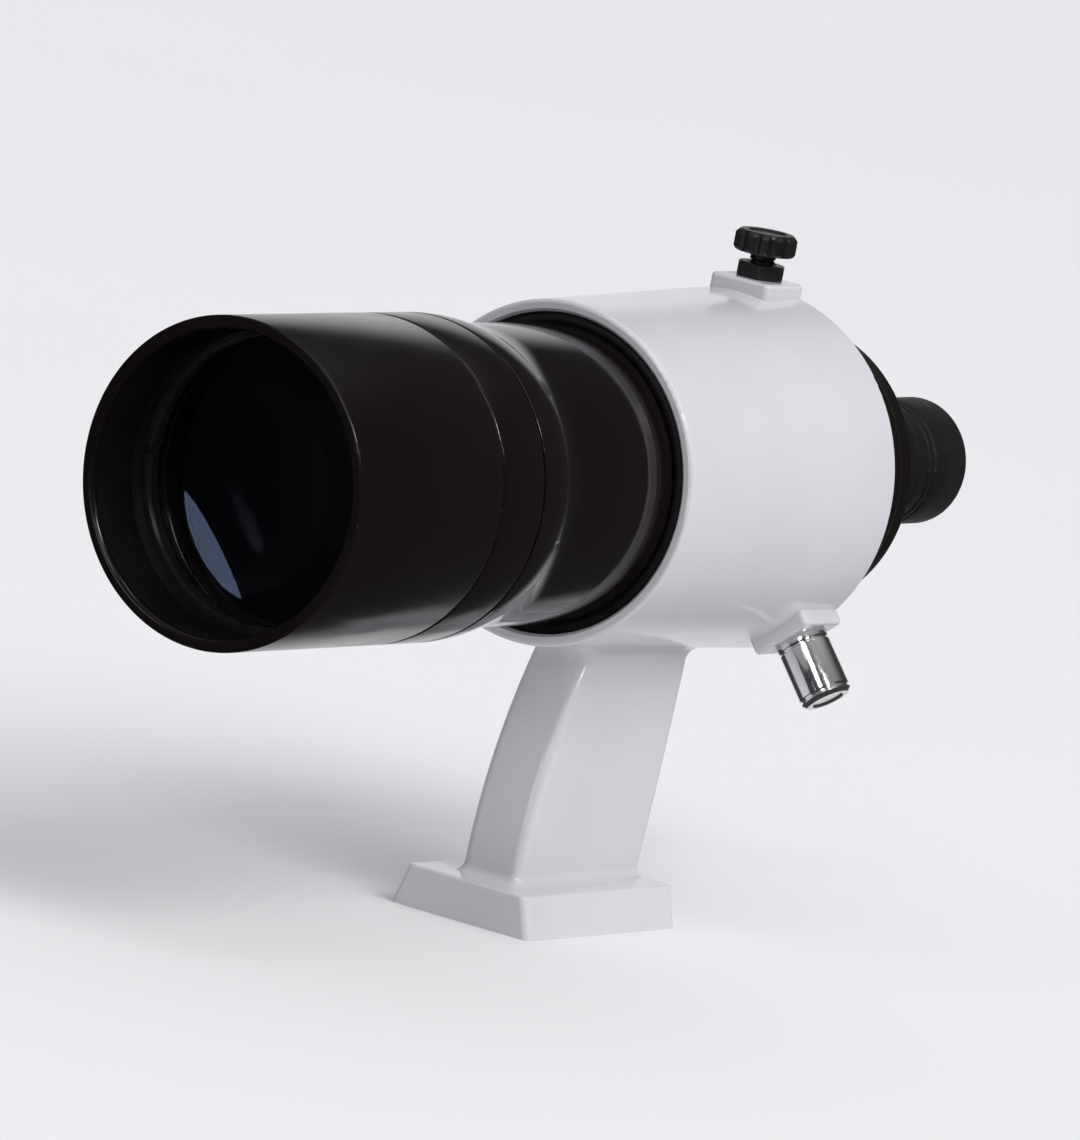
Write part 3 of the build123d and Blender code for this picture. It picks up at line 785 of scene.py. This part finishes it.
def make_spring():
    """The plunger's coil spring, from the collar's end to its seat."""
    across, steps, corners = DOWN_LEFT.cross(ALONG), 24 * SPRING_TURNS, 10
    start, end = COLLAR_END + SPRING_WIRE_R, SPRING_SEAT - SPRING_WIRE_R
    wire_angles = [2 * math.pi * c / corners for c in range(corners)]
    bm = bmesh.new()
    rings = []
    for k in range(steps + 1):
        a = 2 * math.pi * SPRING_TURNS * k / steps
        out = ALONG * math.cos(a) + across * math.sin(a)
        centre = SCREWS + (out * SPRING_R + DOWN_LEFT * (start + (end - start) * k / steps)) * MM
        offsets = [out * math.cos(t) + DOWN_LEFT * math.sin(t) for t in wire_angles]
        rings.append([bm.verts.new(centre + offset * SPRING_WIRE_R * MM) for offset in offsets])
    for first, second in zip(rings, rings[1:]):
        for c in range(corners):
            n = (c + 1) % corners
            bm.faces.new((first[c], first[n], second[n], second[c]))
    bm.faces.new(rings[0])
    bm.faces.new(rings[-1][::-1])
    spring = finish_piece(
        "plunger_spring_coiled", bm, "bracket_body", "spring_steel", "plunger_spring", steel
    )
    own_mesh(spring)


make_cell()
make_objective()
make_lock_ring()
make_tube()
make_rear_cap()
make_barrel()
make_eyecup()
for side, direction in (("top", UP), ("side", RIGHT)):
    make_screw(side, direction)
    make_nut(side, direction)
make_plunger()
make_spring()


# ---------------------------------------------------------------- floor, light and camera
def make_floor():
    """A plain pale floor. Mirror reflections see the backdrop instead."""
    half = 12.0
    corners = ((-half, -half), (half, -half), (half, half), (-half, half))
    bm = bmesh.new()
    bm.faces.new([bm.verts.new((x, y, 0)) for x, y in corners])
    mesh = bpy.data.meshes.new("floor")
    bm.to_mesh(mesh)
    bm.free()
    floor = add_object("floor", mesh)
    material, shader, tree = new_material(
        "floor_white", (0.86, 0.86, 0.87), 0.8, Specular_IOR_Level=0.1
    )
    tone = noise(tree, object_place(tree), 3, 2.0)
    colour = blend_colours(tree, tone, (0.85, 0.85, 0.86), (0.88, 0.88, 0.885))
    tree.links.new(colour, shader.inputs["Base Color"])
    paint(floor, material)
    floor.visible_glossy = False
    floor.visible_transmission = False


def area_light(name, place, size, energy, colour=(1, 1, 1), turn=0, mirrored_only=False):
    """A soft oval panel that faces the finder, turned about its own axis by turn degrees. With
    mirrored_only it lights nothing and shows only in reflections."""
    data = bpy.data.lights.new(name, "AREA")
    data.shape = "ELLIPSE"
    data.size, data.size_y = size
    data.energy = energy
    data.color = colour
    light = add_object(name, data)
    light.location = place
    facing = (AXIS - Vector(place)).to_track_quat("-Z", "Y").to_matrix()
    light.rotation_euler = (facing @ Matrix.Rotation(math.radians(turn), 3, "Z")).to_euler()
    light.visible_diffuse = not mirrored_only
    return light


def make_sun():
    """Broad daylight from above and in front, for the white casting and the soft shadow."""
    data = bpy.data.lights.new("sky_light", "SUN")
    data.energy = 1.7
    data.angle = math.radians(40)
    data.color = (1.0, 0.985, 0.98)
    light = add_object("sky_light", data)
    shining = Vector((0.15, 0.72, -0.72))
    light.rotation_euler = shining.to_track_quat("-Z", "Y").to_euler()
    light.visible_glossy = False


def make_world():
    """A pale room, dimmer in front of the objective, and an even backdrop for the camera.
    Reflections see a dark room with a bright backdrop behind the finder and a soft ceiling."""
    world = bpy.data.worlds.new("studio")
    bpy.context.scene.world = world
    world.use_nodes = True
    tree = world.node_tree
    links = tree.links
    room = tree.nodes["Background"]
    room.inputs["Color"].default_value = (0.95, 0.95, 1.0, 1)
    mirrored = tree.nodes.new("ShaderNodeBackground")
    mirrored.inputs["Color"].default_value = (0.97, 0.97, 1.0, 1)
    towards = tree.nodes.new("ShaderNodeTexCoord").outputs["Generated"]
    parts = tree.nodes.new("ShaderNodeSeparateXYZ")
    links.new(towards, parts.inputs["Vector"])
    links.new(remap(tree, parts.outputs["X"], -1, 1, 0.34, 0.86), room.inputs["Strength"])
    # The backdrop is a disc of the surroundings, straight behind the finder for the camera
    backdrop = tree.nodes.new("ShaderNodeVectorMath")
    backdrop.operation = "DOT_PRODUCT"
    backdrop.inputs[1].default_value = (0.845, 0.52, -0.14)
    links.new(towards, backdrop.inputs[0])
    behind = remap(tree, backdrop.outputs["Value"], 0.8, 0.93, 0.05, 0.8, "SMOOTHSTEP")
    above = remap(tree, parts.outputs["Z"], 0.5, 0.95, 0, 0.4, "SMOOTHSTEP")
    glow = tree.nodes.new("ShaderNodeMath")
    links.new(behind, glow.inputs[0])
    links.new(above, glow.inputs[1])
    links.new(glow.outputs["Value"], mirrored.inputs["Strength"])
    shown = tree.nodes.new("ShaderNodeBackground")
    shown.inputs["Color"].default_value = (0.88, 0.88, 0.885, 1)
    path = tree.nodes.new("ShaderNodeLightPath")
    lit = tree.nodes.new("ShaderNodeMixShader")
    seen = tree.nodes.new("ShaderNodeMixShader")
    links.new(path.outputs["Is Diffuse Ray"], lit.inputs["Fac"])
    links.new(mirrored.outputs["Background"], lit.inputs[1])
    links.new(room.outputs["Background"], lit.inputs[2])
    links.new(path.outputs["Is Camera Ray"], seen.inputs["Fac"])
    links.new(lit.outputs["Shader"], seen.inputs[1])
    links.new(shown.outputs["Background"], seen.inputs[2])
    links.new(seen.outputs["Shader"], tree.nodes["World Output"].inputs["Surface"])


def make_camera():
    """The photograph's viewing angle: from the front left, a little above and far away, with
    the object leaning to the right in the picture."""
    azimuth, elevation, lean = map(math.radians, (-58.07, 8.29, 10.37))
    distance = 2.387
    low, high = cad_box
    aim = Vector([(a + b) / 2 for a, b in zip(low, high)])
    across = math.cos(elevation)
    back = Vector((math.sin(azimuth) * across, -math.cos(azimuth) * across, math.sin(elevation)))
    data = bpy.data.cameras.new("camera")
    data.sensor_width = 36.0
    data.lens = 400.0
    camera = add_object("camera", data)
    turn = (-back).to_track_quat("-Z", "Y").to_matrix() @ Matrix.Rotation(lean, 3, "Z")
    camera.rotation_euler = turn.to_euler()
    camera.location = aim + back * distance
    bpy.context.scene.camera = camera


make_floor()
make_sun()
make_world()
area_light("overhead", (-0.25, -0.35, 1.3), (0.9, 0.12), 1.2)
area_light("left_strip", (-0.2, -1.6, 0.9), (0.9, 0.1), 1.2)
area_light("lens_card", (-1.97, 0.46, 0.54), (1.25, 0.3), 3.3, (0.8, 0.87, 1.0), -48, True)
for name, place, size, energy in (
    ("edge_card", (-1.05, -1.35, 1.2), (0.35, 0.35), 12.0),
    ("front_strip", (-1.7, -0.47, 0.98), (0.35, 1.0), 5.0),
):
    area_light(name, place, size, energy, mirrored_only=True).visible_transmission = False
make_camera()
bpy.context.scene.view_settings.view_transform = "Standard"
